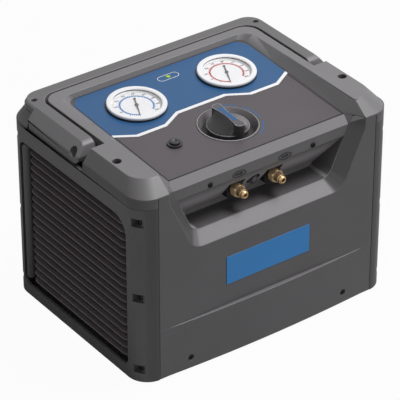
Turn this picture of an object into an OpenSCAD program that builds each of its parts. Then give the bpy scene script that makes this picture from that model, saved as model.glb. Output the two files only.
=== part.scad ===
// Portable refrigerant recovery machine with two gauges, a selector knob and a folding carry handle.
// Millimetres. X runs along the width, the front faces -Y, Z is up and the floor is z = 0.

/* [Body] */
// Width of the housing across both end caps
body_w = 345; // [320:1:380]
// Depth between the flat front and rear faces
body_d = 255; // [240:1:280]
// Height of the housing from its lower edge to the top of the shoulders
body_h = 250; // [240:1:280]
// Plan radius of the four upright corners
corner_r = 25.5; // [20:0.5:30]
// Wall thickness of the moulded shells
wall = 3; // [2.5:0.25:3.5]
// Height that the rubber feet stand below the housing
foot_h = 3; // [2:0.5:6]
// Forward bulge of the lower skirt at its middle
skirt_crown = 4.5; // [2:0.5:8]
// Height of the lower skirt
skirt_h = 64; // [50:1:80]

/* [Control deck] */
// Rise of the control panel towards the rear, in degrees
deck_tilt = 2.7; // [2:0.1:3.4]
// Distance of each gauge from the middle
gauge_x = 62; // [56:1:66]
// Position of the gauges in depth
gauge_y = 34.4; // [28:0.2:40]
// Outer radius of a gauge bezel
gauge_r = 34; // [30:0.5:35]
// Distance of the selector knob's axis from the front face
knob_in = 76.1; // [72:0.1:79]
// Radius of the selector knob disc
knob_r = 24; // [20:0.5:26]
// Position of the power button across the panel
button_x = -72; // [-80:1:-60]
// Radius of the power button collar
button_r = 8.5; // [7:0.25:10]

/* [Ports] */
// Distance of each port from the middle
port_x = 25.9; // [24:0.5:32]
// Depth of the port axes below the top of the body
port_drop = 61; // [59:0.5:63]
// Thread radius of the flare ports, 7/16 inch
flare_r = 5.556; // [5.2:0.001:6.4]
// Hexagon size of the ports across the flats
port_hex = 17; // [15:0.5:18]

/* [Grille] */
// Number of louvre blades in each grille
blade_count = 18; // [14:1:22]
// Thickness of one louvre blade
blade_t = 1.2; // [1:0.1:3]

/* [Handle] */
// Pivot of the handle in depth
pivot_y = 1; // [-3:0.5:5]
// Radius of the rounded pivot ends of the arms
pivot_r = 12.8; // [11:0.2:12.8]
// Radius of the pivot pins
pin_r = 4; // [3:0.25:4.5]

/* [Fan] */
// Tip radius of the cooling fan
fan_r = 71; // [60:1:74]
// Number of fan blades
fan_blades = 5; // [3:1:7]

/* [Hidden] */
$fn = 64;
eps = 0.01;
seat = 0.02;
cut = 1;
fit = 0.2;
hx = body_w / 2;
hy = body_d / 2;
arc_n = 10;
seam_x = hx - corner_r + 1;
knob_y = -hy + knob_in;
port_z = body_h - port_drop;
part_z = body_h - 27.5;
band_z = body_h - 15;
top_x = hx - 11.5;
top_f = hy - 19.5;
rim_x = hx - 40;
rim_y = hy - 39;
deck_rear = hy - 43;
bevel = 13.5;
frame_t = 5.5;
deck_x = rim_x - bevel;
deck_y = -(hy - 21.5);
plate_t = 3;
plate_x = deck_x + 12;
plate_rear = rim_y - 1;
strip_y = -(hy - 13.9);
facet_z = band_z - 9;
strip_z = band_z - 22;
niche_back = -(hy - 43.5);
niche_z = band_z - 63;
portal_z = band_z - 81.3;
portal_slope = 0.45;
portal_r = 22;
floor_t = 4;
floor_z = 2;
shelf_z = floor_z + floor_t;
pivot_z = body_h - pivot_r;
block_x = hx - 29;
block_y = hy - 26.5;
bay_y = pivot_y - 22;
bay_z = pivot_z - pivot_r - 0.6;
notch_y = hy - 39;
corner_z = band_z + 5;
corner_in = 9.8;
rail_t = 6;
arm_x = block_x + 3.5;
arm_y = block_y + 2.5;
arm_z = band_z + 0.8;
heel_y = notch_y - 1.7;
open_f = hy - 26;
open_b = hy - 22.5;
post_r = 6.5;
blade_b = open_b - 2 * post_r - 0.4;
open_z0 = 14;
open_z1 = band_z - 31;
pocket_z = [16.5, 110, part_z - 16.5];
pocket_in = 9.5;
pocket_y = hy - 12.3;
block_front = niche_back + 6;
block_t = 10.5;
fan_z = 105;
rib_x = hx - 22.5;
rib_y = hy - 35.5;
skirt_screw_x = 107;
skirt_screw_z = 14;
badge_x0 = -58;
badge_x1 = 57;
badge_z0 = 90;
badge_z1 = 126;
scoop_x = 50;
scoop_y = hy - 19;
vent_x = 80;
vent_w = 52;
vent_z = 128;
vent_pitch = 9;
inlet_z = skirt_h + 26;
shoulder_x = hx - 19;
shoulder_y = -59;
corner_y = hy - 26.5;
strip_screw_x = 70;
strip_screw_z = band_z - 18.5;
reset_z = port_z + 2;
lamp_x = 2.4;
lamp_y = 64.4;
dial_z = 0.1;
grip_w = 12;
grip_l = 2 * knob_r + 4;
grip_skirt = 6;
inlay = [6, 34];
grip_h = 16;
fan_hub_r = 18;
motor_y = 42;
motor_z = 0.28 * body_h;
board_x = hx - 48.5;
core_half = hy - 43.5;
core_top = body_h - 58;
motor_r = 46;
head_x = 81;

function deck_z(y) = band_z + (y - deck_y) * tan(deck_tilt);
function arc(cx, cy, r, a0, a1, n = arc_n) =
  [for (i = [0:n]) [cx + r * cos(a0 + (a1 - a0) * i / n), cy + r * sin(a0 + (a1 - a0) * i / n)]];
function round_box(x0, x1, y0, y1, rf, rb) = concat(
  arc(x1 - rf, y0 + rf, rf, -90, 0), arc(x1 - rb, y1 - rb, rb, 0, 90),
  arc(x0 + rb, y1 - rb, rb, 90, 180), arc(x0 + rf, y0 + rf, rf, 180, 270));
function plan(d) = round_box(-hx + d, hx - d, -hy + d, hy - d, corner_r - d, corner_r - d);
function bulge(x) = skirt_crown * max(0, 1 - pow(x / (seam_x - 12), 2));
function portal_foot(d) = hx - 70.7 - 0.647 * d;
function portal_half(d) =
  let(
    turn = atan(portal_slope),
    r = portal_r - d / 2,
    zb = portal_z + d,
    xc = portal_foot(d),
    xt = rim_x + 0.5 - d,
    zk = zb + (xt - xc) / portal_slope,
    back = r * tan((90 - turn) / 2)
  )
  concat([[xt, band_z + 12], [xt, zk]], arc(xc - back, zb + r, r, -turn, -90, 8));
function wall_y(z) = strip_y + (strip_z - z) * (niche_back - strip_y) / (strip_z - niche_z);
function mirrored(p) = [for (i = [len(p) - 1:-1:0]) [-p[i][0], p[i][1]]];
function portal(d) = concat(portal_half(d), mirrored(portal_half(d)));

module lift() { translate([0, 0, foot_h]) children(); }
module slab(p, z0, z1) { translate([0, 0, z0]) linear_extrude(z1 - z0) polygon(p); }
module box(x0, x1, y0, y1, z0, z1) { translate([x0, y0, z0]) cube([x1 - x0, y1 - y0, z1 - z0]); }
module both() { children(); mirror([1, 0, 0]) children(); }
module across(x0, x1) { translate([x0, 0, 0]) rotate([90, 0, 90]) linear_extrude(x1 - x0) children(); }
module facing(p, y0, y1) { translate([0, y1, 0]) rotate([90, 0, 0]) linear_extrude(y1 - y0) polygon(p); }
module tube_x(r, x0, x1, y, z) { translate([x0, y, z]) rotate([0, 90, 0]) cylinder(r = r, h = x1 - x0); }
module tube_y(r, y0, y1, x, z) { translate([x, y1, z]) rotate([90, 0, 0]) cylinder(r = r, h = y1 - y0); }
module tube_z(r, z0, z1, x, y) { translate([x, y, z0]) cylinder(r = r, h = z1 - z0); }
module on_deck(x, y) { translate([x, y, deck_z(y)]) rotate([deck_tilt, 0, 0]) children(); }

// Housing shells
module base_tray() {
  color("dimgray") lift() difference() {
    union() {
      slab(plan(wall), floor_z, shelf_z);
      for (x = [-1, 1]) box(x * rib_x - 2, x * rib_x + 2, -rib_y, rib_y, shelf_z - eps, shelf_z + 4);
    }
    for (x = [-1, 1], y = [-1, 1]) tube_z(3, 0, shelf_z + 5, x * (hx - 42), y * (hy - 32));
  }
}

module skirt(side) {
  crown = [for (i = [0:24]) let(x = -seam_x + fit + i * (seam_x - fit) / 12) [x, side * (hy + bulge(x))]];
  slab(concat(crown, [[seam_x - fit, side * (hy - wall)], [-seam_x + fit, side * (hy - wall)]]), 0, skirt_h);
}

module front_panel() {
  color("dimgray") lift() difference() {
    union() {
      box(-seam_x + fit, seam_x - fit, -hy, -hy + wall, 0, band_z);
      skirt(-1);
      intersection() {
        hull() {
          facing(portal(-frame_t), -hy, -hy + eps);
          facing(portal(bevel - frame_t), strip_y - eps, strip_y);
        }
        box(-seam_x, seam_x, -hy, strip_y, 0, band_z);
      }
    }
    hull() {
      facing(portal(-bevel / 2), -hy - bevel / 2, -hy - bevel / 2 + eps);
      facing(portal(bevel), strip_y, strip_y + eps);
    }
    corner_facets();
    for (x = [-1, 1]) {
      tube_y(3.5, -hy - 8, -hy + 0.5, x * skirt_screw_x, skirt_screw_z);
      tube_y(1.8, -hy - 8, -hy + 8, x * skirt_screw_x, skirt_screw_z);
    }
    box(badge_x0, badge_x1, -hy - cut, -hy + 0.8, badge_z0, badge_z1);
  }
}

module rear_panel() {
  color("dimgray") lift() difference() {
    union() {
      box(-seam_x + fit, seam_x - fit, hy - wall, hy, 0, band_z);
      skirt(1);
      box(-scoop_x - 12, scoop_x + 12, scoop_y - wall, hy, band_z - 34, band_z - 3);
    }
    hull() {
      box(-scoop_x, scoop_x, scoop_y, hy + cut, band_z - 3.5, band_z + cut);
      box(-scoop_x + 6, scoop_x - 6, hy - 8, hy + cut, band_z - 30, band_z + cut);
    }
    box(-14, 14, hy - wall - cut, hy + cut, inlet_z - 10, inlet_z + 10);
    for (x = [-1, 1]) tube_y(1.7, hy - wall - cut, hy + cut, x * 20, inlet_z);
    for (i = [0:5], x = [-1, 1]) translate([x * vent_x, hy - wall / 2, vent_z + 2 + i * vent_pitch])
      cube([vent_w, wall + 2 * cut, 4], center = true);
  }
}

module end_cap() {
  lip_x = seam_x - 12;
  difference() {
    union() {
      difference() {
        slab(plan(0), 0, part_z);
        slab(plan(wall), -cut, part_z + cut);
        box(-seam_x - fit, hx + cut, -hy - cut, hy + cut, -cut, part_z + cut);
      }
      intersection() {
        union() for (z = pocket_z, y = [-1, 1])
          translate([-hx + 8.5, y * (hy - 9.6), z]) cube([17, 19.2, 17], center = true);
        slab(plan(0), 0, part_z);
      }
      for (y = [-1, 1])
        box(-seam_x - 2.2, -lip_x, min(y * (hy - wall), y * (hy - 2 * wall)),
          max(y * (hy - wall), y * (hy - 2 * wall)), shelf_z + 4, 150);
      for (y = [-1, 1])
        box(-seam_x - 2.2, -seam_x - fit, min(y * (hy - wall / 2), y * (hy - 2 * wall)),
          max(y * (hy - wall / 2), y * (hy - 2 * wall)), shelf_z + 4, 150);
    }
    across(-hx - cut, -hx + wall + cut) polygon(grille_outline(0));
    for (z = pocket_z, y = [-1, 1]) {
      translate([-hx + pocket_in / 2 - 1, y * (hy - 8.5), z]) cube([pocket_in + 2, 18, 10.4], center = true);
      tube_x(1.8, -hx, -hx + 20, y * pocket_y, z);
    }
  }
}

function grille_outline(d) = concat(
  arc(-open_f + 10, open_z0 + 10, 10 + d, 180, 270), arc(open_b - 10, open_z0 + 10, 10 + d, 270, 360),
  arc(open_b - 10, open_z1 - 10, 10 + d, 0, 90), arc(-open_f + 22, open_z1 - 22, 22 + d, 90, 180));

module left_end_cap() { color("gray") lift() end_cap(); }
module right_end_cap() { color("gray") lift() mirror([1, 0, 0]) end_cap(); }

// A louvre blade runs level and turns inward round both ends.
function blade_plan(d) = concat(
  [[-hx + 14.5, -open_f + 0.5 + d]], arc(-hx + 14.3, -open_f + 13.5, 13 - d, 270, 180, 8),
  arc(-hx + 14.3, blade_b - 13.5, 13 - d, 180, 90, 8), [[-hx + 14.5, blade_b - 0.5 - d]]);
module grille() {
  pitch = (open_z1 - open_z0) / (blade_count + 1);
  intersection() {
    for (i = [1:blade_count]) translate([0, 0, open_z0 + i * pitch - blade_t / 2]) linear_extrude(blade_t)
      polygon(concat(blade_plan(0), [for (i = [19:-1:0]) blade_plan(3.5)[i]]));
    across(-hx, -hx + 20) polygon(grille_outline(-0.4));
  }
  difference() {
    intersection() {
      across(-hx + wall, -hx + 16) polygon(grille_outline(3));
      slab(plan(wall + seat), 0, part_z);
    }
    across(-hx + wall - cut, -hx + 13) polygon(grille_outline(1.5));
    across(-hx + wall - cut, -hx + 17) polygon(grille_outline(-4));
  }
  for (y = [-50, 0, 50]) box(-hx + 4.6, -hx + 15, y - 0.6, y + 0.6, open_z0 - 0.5, open_z1 + 0.5);
  intersection() {
    tube_z(post_r, open_z0 - 1, open_z1 + 1, -hx + post_r + 0.8, open_b - post_r - 0.4);
    across(-hx, -hx + 20) polygon(grille_outline(-0.4));
  }
}
module left_grille() { color("darkslategray") lift() grille(); }
module right_grille() { color("darkslategray") lift() mirror([1, 0, 0]) grille(); }

// Side profile of the handle arm: round about the pivot, then level to the heel.
arm_profile = concat(
  [[heel_y, body_h + 20], [pivot_y, body_h + 20]], arc(pivot_y, pivot_z, pivot_r, 180, 270),
  [[heel_y, pivot_z - pivot_r]]);
bay_profile = [
  [bay_y, body_h + 20], [bay_y, bay_z], [notch_y, bay_z],
  [notch_y, corner_z], [hy + 10, corner_z], [hy + 10, body_h + 20]];

module rail() {
  difference() {
    union() {
      intersection() {
        slab(plan(0), part_z, band_z);
        box(-hx, -seam_x - fit, -hy, bay_y, part_z, band_z);
      }
      intersection() {
        slab(plan(0), part_z, bay_z);
        box(-hx, -seam_x - fit, bay_y - eps, notch_y + 2 * fit, part_z, bay_z);
      }
      intersection() {
        hull() {
          slab(plan(0), part_z, part_z + 4);
          slab(plan(corner_in - 0.3), corner_z - eps, corner_z);
        }
        box(-hx, -seam_x - fit, notch_y + fit, hy, part_z, corner_z);
      }
    }
    slab(plan(rail_t), part_z - cut, band_z);
    slab(plan(corner_in + 5), band_z - eps, corner_z + cut);
    across(-hx - cut, -seam_x) polygon(bay_profile);
  }
}
module left_rail() { color("dimgray") lift() rail(); }
module right_rail() { color("dimgray") lift() mirror([1, 0, 0]) rail(); }

function deck_half(y) = deck_x + max(0, y - deck_y) * 0.01;
module deck_span(y0, y1) {
  hull() for (s = [-1, 1], y = [y0, y1]) {
    translate([s * deck_half(y), y, deck_z(max(y, deck_y))]) cube(eps, center = true);
    translate([s * (rim_x + 0.9), y, body_h + cut]) cube(eps, center = true);
  }
}
// The facets that run from the shoulders down beside the console to the portal.
module corner_facets() {
  hull() for (s = [-1, 1]) {
    translate([s * (rim_x + 4), -top_f - 0.6, body_h + 4.5]) cube(eps, center = true);
    translate([s * (rim_x + 4.5), -hy - 4.2, band_z + 2.7]) cube(eps, center = true);
    translate([s * deck_x, deck_y, band_z]) cube(eps, center = true);
    translate([s * deck_x, strip_y, facet_z]) cube(eps, center = true);
  }
}
module deck_opening() {
  deck_span(-hy - 40, deck_y);
  deck_span(deck_y - eps, 20);
  hull() {
    translate([0, deck_y, band_z]) rotate([deck_tilt, 0, 0])
      slab(round_box(-deck_half(20), deck_half(20), (19 - deck_y) / cos(deck_tilt),
        (deck_rear - deck_y) / cos(deck_tilt), 1, 10), -eps, 0);
    slab(round_box(-rim_x - 0.9, rim_x + 0.9, 19, rim_y + 0.5, 1, 18), body_h + cut, body_h + cut + eps);
  }
  corner_facets();
}

module top_cover() {
  inner = rail_t + fit / 2;
  tray_z = part_z - 2.5;
  color("gray") lift() difference() {
    union() {
      difference() {
        hull() {
          slab(plan(0), band_z, band_z + eps);
          slab(round_box(-top_x, top_x, -top_f, hy - 12, corner_r - 3, corner_r - 3), body_h - eps, body_h);
        }
        difference() {
          box(-hx - cut, hx + cut, bay_y, hy + cut, band_z - cut, body_h + cut);
          slab(round_box(-block_x, block_x, -hy, block_y, 1, 18), band_z - 2 * cut, body_h + 2 * cut);
        }
        both() box(block_x - 4, top_x - 5, -top_f + 8, bay_y - 4, band_z - cut, body_h - 8);
      }
      intersection() {
        difference() {
          slab(plan(inner), tray_z, band_z);
          slab(round_box(-block_x + wall, block_x - wall, -hy, block_y - wall, 1, 15),
            tray_z - cut, band_z + cut);
        }
        across(-hx, hx) polygon([
          [bay_y - wall, band_z], [bay_y, band_z], [bay_y, bay_z], [notch_y, bay_z], [notch_y, band_z],
          [hy, band_z], [hy, band_z - wall], [notch_y + wall, band_z - wall], [notch_y + wall, tray_z],
          [bay_y - wall, tray_z]]);
      }
      both() intersection() {
        box(block_x - wall, block_x, bay_y - wall, notch_y + wall, tray_z, band_z + eps);
        slab(plan(inner), tray_z, band_z + 1);
      }
      box(-seam_x + 1, seam_x - 1, hy - rail_t - 1, hy - wall - fit / 2, band_z - wall, band_z);
    }
    deck_opening();
    box(-scoop_x, scoop_x, scoop_y, hy + cut, band_z - wall - cut, band_z + cut);
    translate([0, deck_y, band_z]) rotate([deck_tilt, 0, 0])
      box(-plate_x - fit, plate_x + fit, -cut, (plate_rear - deck_y) / cos(deck_tilt) + fit, -20, 0);
    both() {
      tube_z(5, body_h - 6, body_h + cut, shoulder_x, shoulder_y);
      tube_z(1.8, band_z - cut, body_h, shoulder_x, shoulder_y);
      tube_x(pin_r + 0.1, plate_x - cut, block_x + cut, pivot_y, pivot_z);
    }
  }
}

module console() {
  color("dimgray") lift() difference() {
    union() {
      intersection() {
        across(-deck_x - 0.2, deck_x + 0.2) polygon([
          [deck_y, band_z], [deck_y + 0.6, band_z], [deck_y + 0.6, band_z - plate_t],
          [deck_y + 8, band_z - plate_t],
          [deck_y + 8, band_z - plate_t - 3], [strip_y + 3.5, facet_z - 3], [strip_y + 3.5, strip_z],
          [niche_back + 3, niche_z - 2], [niche_back + 3, portal_z + bevel - 4],
          [strip_y, portal_z + bevel - 4],
          [strip_y, portal_z + bevel - 1], [niche_back, portal_z + bevel - 1], [niche_back, niche_z],
          [strip_y, strip_z], [strip_y, facet_z]]);
        facing(portal(bevel - wall), strip_y, 0);
      }
      difference() {
        intersection() {
          facing(portal(bevel - wall), strip_y, 0);
          across(-hx, hx) polygon([
            [strip_y, band_z - 9], [strip_y + 3.5, facet_z - 3], [strip_y + 3.5, strip_z],
            [niche_back + 3, niche_z - 2], [niche_back + 3, portal_z], [strip_y, portal_z]]);
        }
        facing(portal(bevel), strip_y - cut, 1);
      }
      both() across(deck_x + 0.2 - eps, deck_x + 9) polygon([
        [strip_y, facet_z - 4], [strip_y, band_z - seat], [deck_y + 0.6, band_z - seat],
        [deck_y + 0.6, facet_z - 4]]);
      both() across(port_x + 11.5, port_x + 15) polygon([
        [wall_y(port_z + 6) + 1, port_z + 6], [block_front, port_z + 6],
        [block_front, port_z - 11], [wall_y(port_z - 11) + 1, port_z - 11]]);
    }
    corner_facets();
    for (s = [-1, 1]) {
      box(s * port_x - 11.2, s * port_x + 11.2, strip_y - cut, niche_back + 4, port_z - 10.5, port_z + 10.2);
      tube_y(3.4, strip_y - cut, strip_y + 1.5, s * strip_screw_x, strip_screw_z);
      tube_y(1.6, strip_y - cut, strip_y + 8, s * strip_screw_x, strip_screw_z);
    }
    tube_y(5.2, strip_y - cut, niche_back + 4, 0, reset_z);
    tube_y(8, strip_y - cut, niche_back - 9, 0, reset_z);
  }
}

module badge_plate() {
  color("steelblue") lift()
    box(badge_x0 + fit, badge_x1 - fit, -hy - 0.4, -hy + 0.8, badge_z0 + fit, badge_z1 - fit);
}

module feet() {
  color("black") for (x = [-1, 1], y = [-1, 1]) translate([x * (hx - 42), y * (hy - 32), 0]) {
    difference() {
      cylinder(r = 11, h = foot_h + floor_z);
      translate([0, 0, -cut]) cylinder(r = 4, h = 2);
    }
    translate([0, 0, foot_h + floor_z - eps]) cylinder(r = 2.8, h = floor_t + 1);
  }
}

// Fasteners
module screw_head(r, h) {
  difference() {
    cylinder(r = r, h = h);
    for (a = [0, 90]) rotate([0, 0, a]) translate([-r * 0.6, -0.5, h - 1]) cube([r * 1.2, 1, 2]);
  }
}
module screw(r, h, shank_r, shank) {
  screw_head(r, h);
  translate([0, 0, -shank]) cylinder(r = shank_r, h = shank + eps);
}
module cap_screws() {
  color("black") lift() for (z = pocket_z, x = [-1, 1], y = [-1, 1])
    translate([x * (hx - pocket_in), y * pocket_y, z]) rotate([0, x * 90, 0]) screw(3.2, 2.2, 1.5, 7);
}
module top_screws() {
  color("black") lift() both() translate([shoulder_x, shoulder_y, body_h - 6]) screw(4, 3, 1.5, 8);
}
module front_screws() {
  color("black") lift() both()
    translate([skirt_screw_x, -hy + 0.5, skirt_screw_z]) rotate([90, 0, 0]) screw(3.2, 2, 1.5, 6);
}
module port_screws() {
  color("black") lift() both()
    translate([strip_screw_x, strip_y + 1.5, strip_screw_z]) rotate([90, 0, 0]) screw(3.1, 2, 1.4, 5);
}

// Carry handle: a bail that lies in the cover and swings up about its two pins.
module carry_handle() {
  color("gray") lift() difference() {
    union() {
      intersection() {
        hull() {
          slab(round_box(-hx + 1.5, hx - 1.5, -60, hy - 1.5, 1, 32), arm_z, arm_z + eps);
          slab(round_box(-top_x + 0.5, top_x - 0.5, -60, hy - 10, 1, 18), body_h - eps, body_h);
        }
        box(-hx, hx, pivot_y, hy, arm_z, body_h);
      }
      both() intersection() {
        across(arm_x, hx - 1.5) polygon(arm_profile);
        facing([
          [0, 0], [hx - 1.5, 0], [hx - 1.5, arm_z], [top_x - 0.5, body_h], [0, body_h]], -60, heel_y);
        union() {
          box(0, hx, pivot_y, heel_y, 0, body_h);
          tube_x(pivot_r, 0, hx, pivot_y, pivot_z);
        }
      }
    }
    slab(round_box(-arm_x, arm_x, -80, arm_y, 1, 20), 0, body_h + cut);
    both() difference() {
      box(seam_x - 0.5, hx, notch_y, hy, arm_z - cut, body_h + cut);
      slab(plan(corner_in), corner_z + 0.4, body_h + 2 * cut);
    }
    both() {
      tube_x(pin_r + 0.3, arm_x - cut, hx, pivot_y, pivot_z);
      tube_x(pin_r + 1.6, hx - 14.2, hx, pivot_y, pivot_z);
      tube_z(3.5, body_h - 3, body_h + cut, shoulder_x, corner_y);
      tube_z(1.7, body_h - 11, body_h, shoulder_x, corner_y);
    }
  }
}
module handle_pins() {
  color("silver") lift() both() {
    tube_x(pin_r, plate_x + 1, hx - 13.8, pivot_y, pivot_z);
    tube_x(pin_r + 3, block_x, arm_x - 0.6, pivot_y, pivot_z);
    tube_x(pin_r + 1.2, hx - 13.8, hx - 11.5, pivot_y, pivot_z);
  }
}
module handle_screws() {
  color("black") lift() both() translate([shoulder_x, corner_y, body_h - 3]) screw(3.1, 2, 1.5, 6);
}

// Control deck
module deck_cutouts(h) {
  for (s = [-1, 1]) on_deck(s * gauge_x, gauge_y) translate([0, 0, -h])
    cylinder(r = gauge_r - 3.6, h = 2 * h);
  on_deck(0, knob_y) translate([0, 0, -h]) cylinder(r = knob_r + 10.1, h = 2 * h);
  on_deck(button_x, knob_y) translate([0, 0, -h]) cylinder(r = button_r - 1.4, h = 2 * h);
  on_deck(lamp_x, lamp_y) translate([0, 0, -h]) cylinder(r = 2.7, h = 2 * h);
}
module control_panel() {
  span = (plate_rear - deck_y) / cos(deck_tilt);
  color("dimgray") lift() difference() {
    translate([0, deck_y, band_z]) rotate([deck_tilt, 0, 0])
      box(-plate_x, plate_x, 1, span, -plate_t, 0);
    deck_cutouts(10);
  }
}
label_x = deck_x + 0.4;
function label_edge(d) = [
  [-label_x, -1 - d], [-96, -14.5 - d], [-58, -14.5 - d], [-33, -1 - d],
  [33, -1 - d], [58, -14.5 - d], [96, -14.5 - d], [label_x, -1 - d]];
label_rear = [[label_x, deck_rear - 12], [deck_x - 9, deck_rear - 0.8],
  [-deck_x + 9, deck_rear - 0.8], [-label_x, deck_rear - 12]];
module deck_sheet(p, z0, z1) {
  translate([0, 0, deck_z(0)]) rotate([deck_tilt, 0, 0]) translate([0, 0, z0])
    linear_extrude(z1 - z0) polygon(p);
}
module panel_label() {
  color("steelblue") lift() difference() {
    deck_sheet(concat(label_edge(-1.6), label_rear), 0, 0.4);
    deck_cutouts(10);
    for (s = [-1, 1]) on_deck(s * gauge_x, gauge_y) translate([0, 0, -5]) cylinder(r = gauge_r + 0.7, h = 10);
  }
}
module label_stripe() {
  e = label_edge(3);
  color("white") lift() deck_sheet(concat(label_edge(-1.5), [for (i = [7:-1:0]) e[i]]), 0, 0.4);
}
module status_lamp() {
  color("yellowgreen") lift() on_deck(lamp_x, lamp_y) {
    translate([0, 0, -plate_t - 6]) cylinder(r = 2.5, h = plate_t + 6.8);
    translate([0, 0, -plate_t - 6]) cylinder(r = 4, h = 6 - seat);
  }
}
module knob_well() {
  r = knob_r + 9.8;
  color("dimgray") lift() on_deck(0, knob_y) difference() {
    union() {
      cylinder(r = knob_r + 11, h = 0.8);
      translate([0, 0, -11]) cylinder(r = r, h = 11 + eps);
    }
    rotate_extrude() polygon([[0, -9.5], [r - 4.5, -9.5], [r - 0.6, 1.8], [0, 1.8]]);
    translate([0, 0, -13]) cylinder(r = 6.5, h = 10);
  }
}
module grip(w, l, h) {
  translate([0, 0, h / 2]) cube([w, l - w, h], center = true);
  for (s = [-1, 1]) translate([0, s * (l - w) / 2, 0]) cylinder(r = w / 2, h = h);
}
module selector_knob() {
  color("black") lift() on_deck(0, knob_y) difference() {
    union() {
      rotate_extrude() polygon([
        [0, -8.5], [knob_r - 1, -8.5], [knob_r - 1, -1.6],
        [knob_r, -1.2], [knob_r, -0.4], [knob_r - 0.8, 0], [0, 0]]);
      translate([0, 0, -grip_skirt]) grip(grip_w, grip_l, grip_h + grip_skirt);
    }
    translate([0, 0, -9.5]) cylinder(r = 4.05, h = 17);
    translate([0, 0, grip_h]) cube([inlay[0] + 0.2, inlay[1] + 0.2, 1.2], center = true);
  }
}
module knob_inlay() {
  color("steelblue") lift() on_deck(0, knob_y) translate([0, 0, grip_h - 0.25])
    cube([inlay[0], inlay[1], 0.7], center = true);
}
module valve_stem() {
  color("silver") lift() on_deck(0, knob_y) {
    translate([0, 0, -44]) cylinder(r = 4, h = 51.5);
    translate([0, 0, -44]) cylinder(r = 7, h = 6);
  }
}
module valve_body() {
  color("goldenrod") lift() on_deck(0, knob_y) difference() {
    union() {
      translate([-19, -15, -54]) cube([38, 34, 26]);
      translate([0, 0, -29]) cylinder(r = 12, h = 18);
    }
    translate([0, 0, -44.5]) cylinder(r = 7.5, h = 8);
    translate([0, 0, -44.5]) cylinder(r = 4.3, h = 40);
  }
}
module button_collar() {
  color("black") lift() on_deck(button_x, knob_y) difference() {
    union() {
      cylinder(r = button_r, h = 2.2);
      translate([0, 0, -14]) cylinder(r = button_r - 1.6, h = 14 + eps);
    }
    translate([0, 0, -11]) cylinder(r = button_r - 2.6, h = 20);
  }
}
module power_button() {
  color("black") lift() on_deck(button_x, knob_y) rotate_extrude()
    polygon([
      [0, -7], [button_r - 2.9, -7], [button_r - 2.9, 4], [button_r - 3.5, 4.6],
      [button_r - 4.4, 4.6], [1.6, 3.6], [0, 3.5]]);
}

// Pressure gauges
module gauge_case(s) {
  color("black") lift() on_deck(s * gauge_x, gauge_y) {
    difference() {
      union() {
        translate([0, 0, seat]) cylinder(r = gauge_r + 0.4, h = 2.6 - seat);
        translate([0, 0, -26]) cylinder(r = gauge_r - 4, h = 26 + eps);
      }
      translate([0, 0, dial_z]) cylinder(r = gauge_r - 5.5, h = 5);
      translate([0, 0, -8]) cylinder(r = 1.1, h = 10);
    }
    difference() {
      translate([0, 0, -40]) cylinder(r = 6, h = 14 + eps);
      translate([0, 0, -41]) cylinder(r = 2.4, h = 10);
    }
  }
}
module gauge_dial(s) {
  color("white") lift() on_deck(s * gauge_x, gauge_y) difference() {
    translate([0, 0, dial_z]) cylinder(r = gauge_r - 5.7, h = 0.8);
    translate([0, 0, dial_z - 1]) cylinder(r = 1.3, h = 3);
  }
}
module gauge_pointer(s) {
  tail = 13;
  color("gray") lift() on_deck(s * gauge_x, gauge_y) {
    translate([0, 0, -4]) cylinder(r = 0.8, h = dial_z + 6);
    translate([0, 0, dial_z + 1.2]) cylinder(r = 2.2, h = 0.9);
    rotate([0, 0, 246]) translate([0, 0, dial_z + 1.3]) linear_extrude(0.6)
      polygon([[-tail, -0.5], [-tail, 0.5], [0, 0.9], [20, 0.3], [20, -0.3], [0, -0.9]]);
    rotate([0, 0, 246]) translate([-tail, 0, dial_z + 1.3]) cylinder(r = 1.5, h = 0.6);
  }
}
module gauge_lens(s) {
  color("lightcyan", 0.3) lift() on_deck(s * gauge_x, gauge_y)
    translate([0, 0, 2.6]) cylinder(r = gauge_r - 4, h = 1);
}
module gauge_bezel(s) {
  color("white") lift() on_deck(s * gauge_x, gauge_y) rotate_extrude() polygon([
    [gauge_r - 3.8, 2.6], [gauge_r, 2.6], [gauge_r, 4.4], [gauge_r - 0.8, 5.2],
    [gauge_r - 5, 5.2], [gauge_r - 6, 4.4], [gauge_r - 6, 3.7], [gauge_r - 3.8, 3.7]]);
}
module low_case() { gauge_case(-1); }
module low_dial() { gauge_dial(-1); }
module low_pointer() { gauge_pointer(-1); }
module low_lens() { gauge_lens(-1); }
module low_bezel() { gauge_bezel(-1); }
module high_case() { gauge_case(1); }
module high_dial() { gauge_dial(1); }
module high_pointer() { gauge_pointer(1); }
module high_lens() { gauge_lens(1); }
module high_bezel() { gauge_bezel(1); }

// Ports in the front niche
port_tip = strip_y - 5;
module port_block() {
  color("silver") lift() difference() {
    box(-port_x - 16, port_x + 16, block_front, block_front + block_t, port_z - 12, port_z + 7);
    for (s = [-1, 1]) tube_y(4.5, block_front - cut, block_front + block_t - 2, s * port_x, port_z);
    box(-8, 8, block_front - cut, block_front + block_t + cut, port_z - 6, port_z + 9);
  }
}
module fitting(s) {
  translate([s * port_x, port_tip, port_z]) rotate([-90, 0, 0]) difference() {
    union() {
      rotate_extrude() polygon([
        [0, 0], [3.4, 0], [4.9, 2.6], [flare_r, 2.6], [flare_r, 13], [5, 13.6], [5, 16], [0, 16]]);
      translate([0, 0, 15.5]) rotate([0, 0, 30]) cylinder(r = port_hex / 2 / cos(30), h = 9, $fn = 6);
      translate([0, 0, 24]) cylinder(r = 6.5, h = block_front - port_tip - 24);
      translate([0, 0, 24]) cylinder(r = 4.3, h = block_front + block_t - 3 - port_tip - 24);
    }
    translate([0, 0, -cut]) cylinder(r = 2.4, h = 80);
  }
}
module inlet_fitting() { color("gold") lift() fitting(-1); }
module outlet_fitting() { color("gold") lift() fitting(1); }
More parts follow.
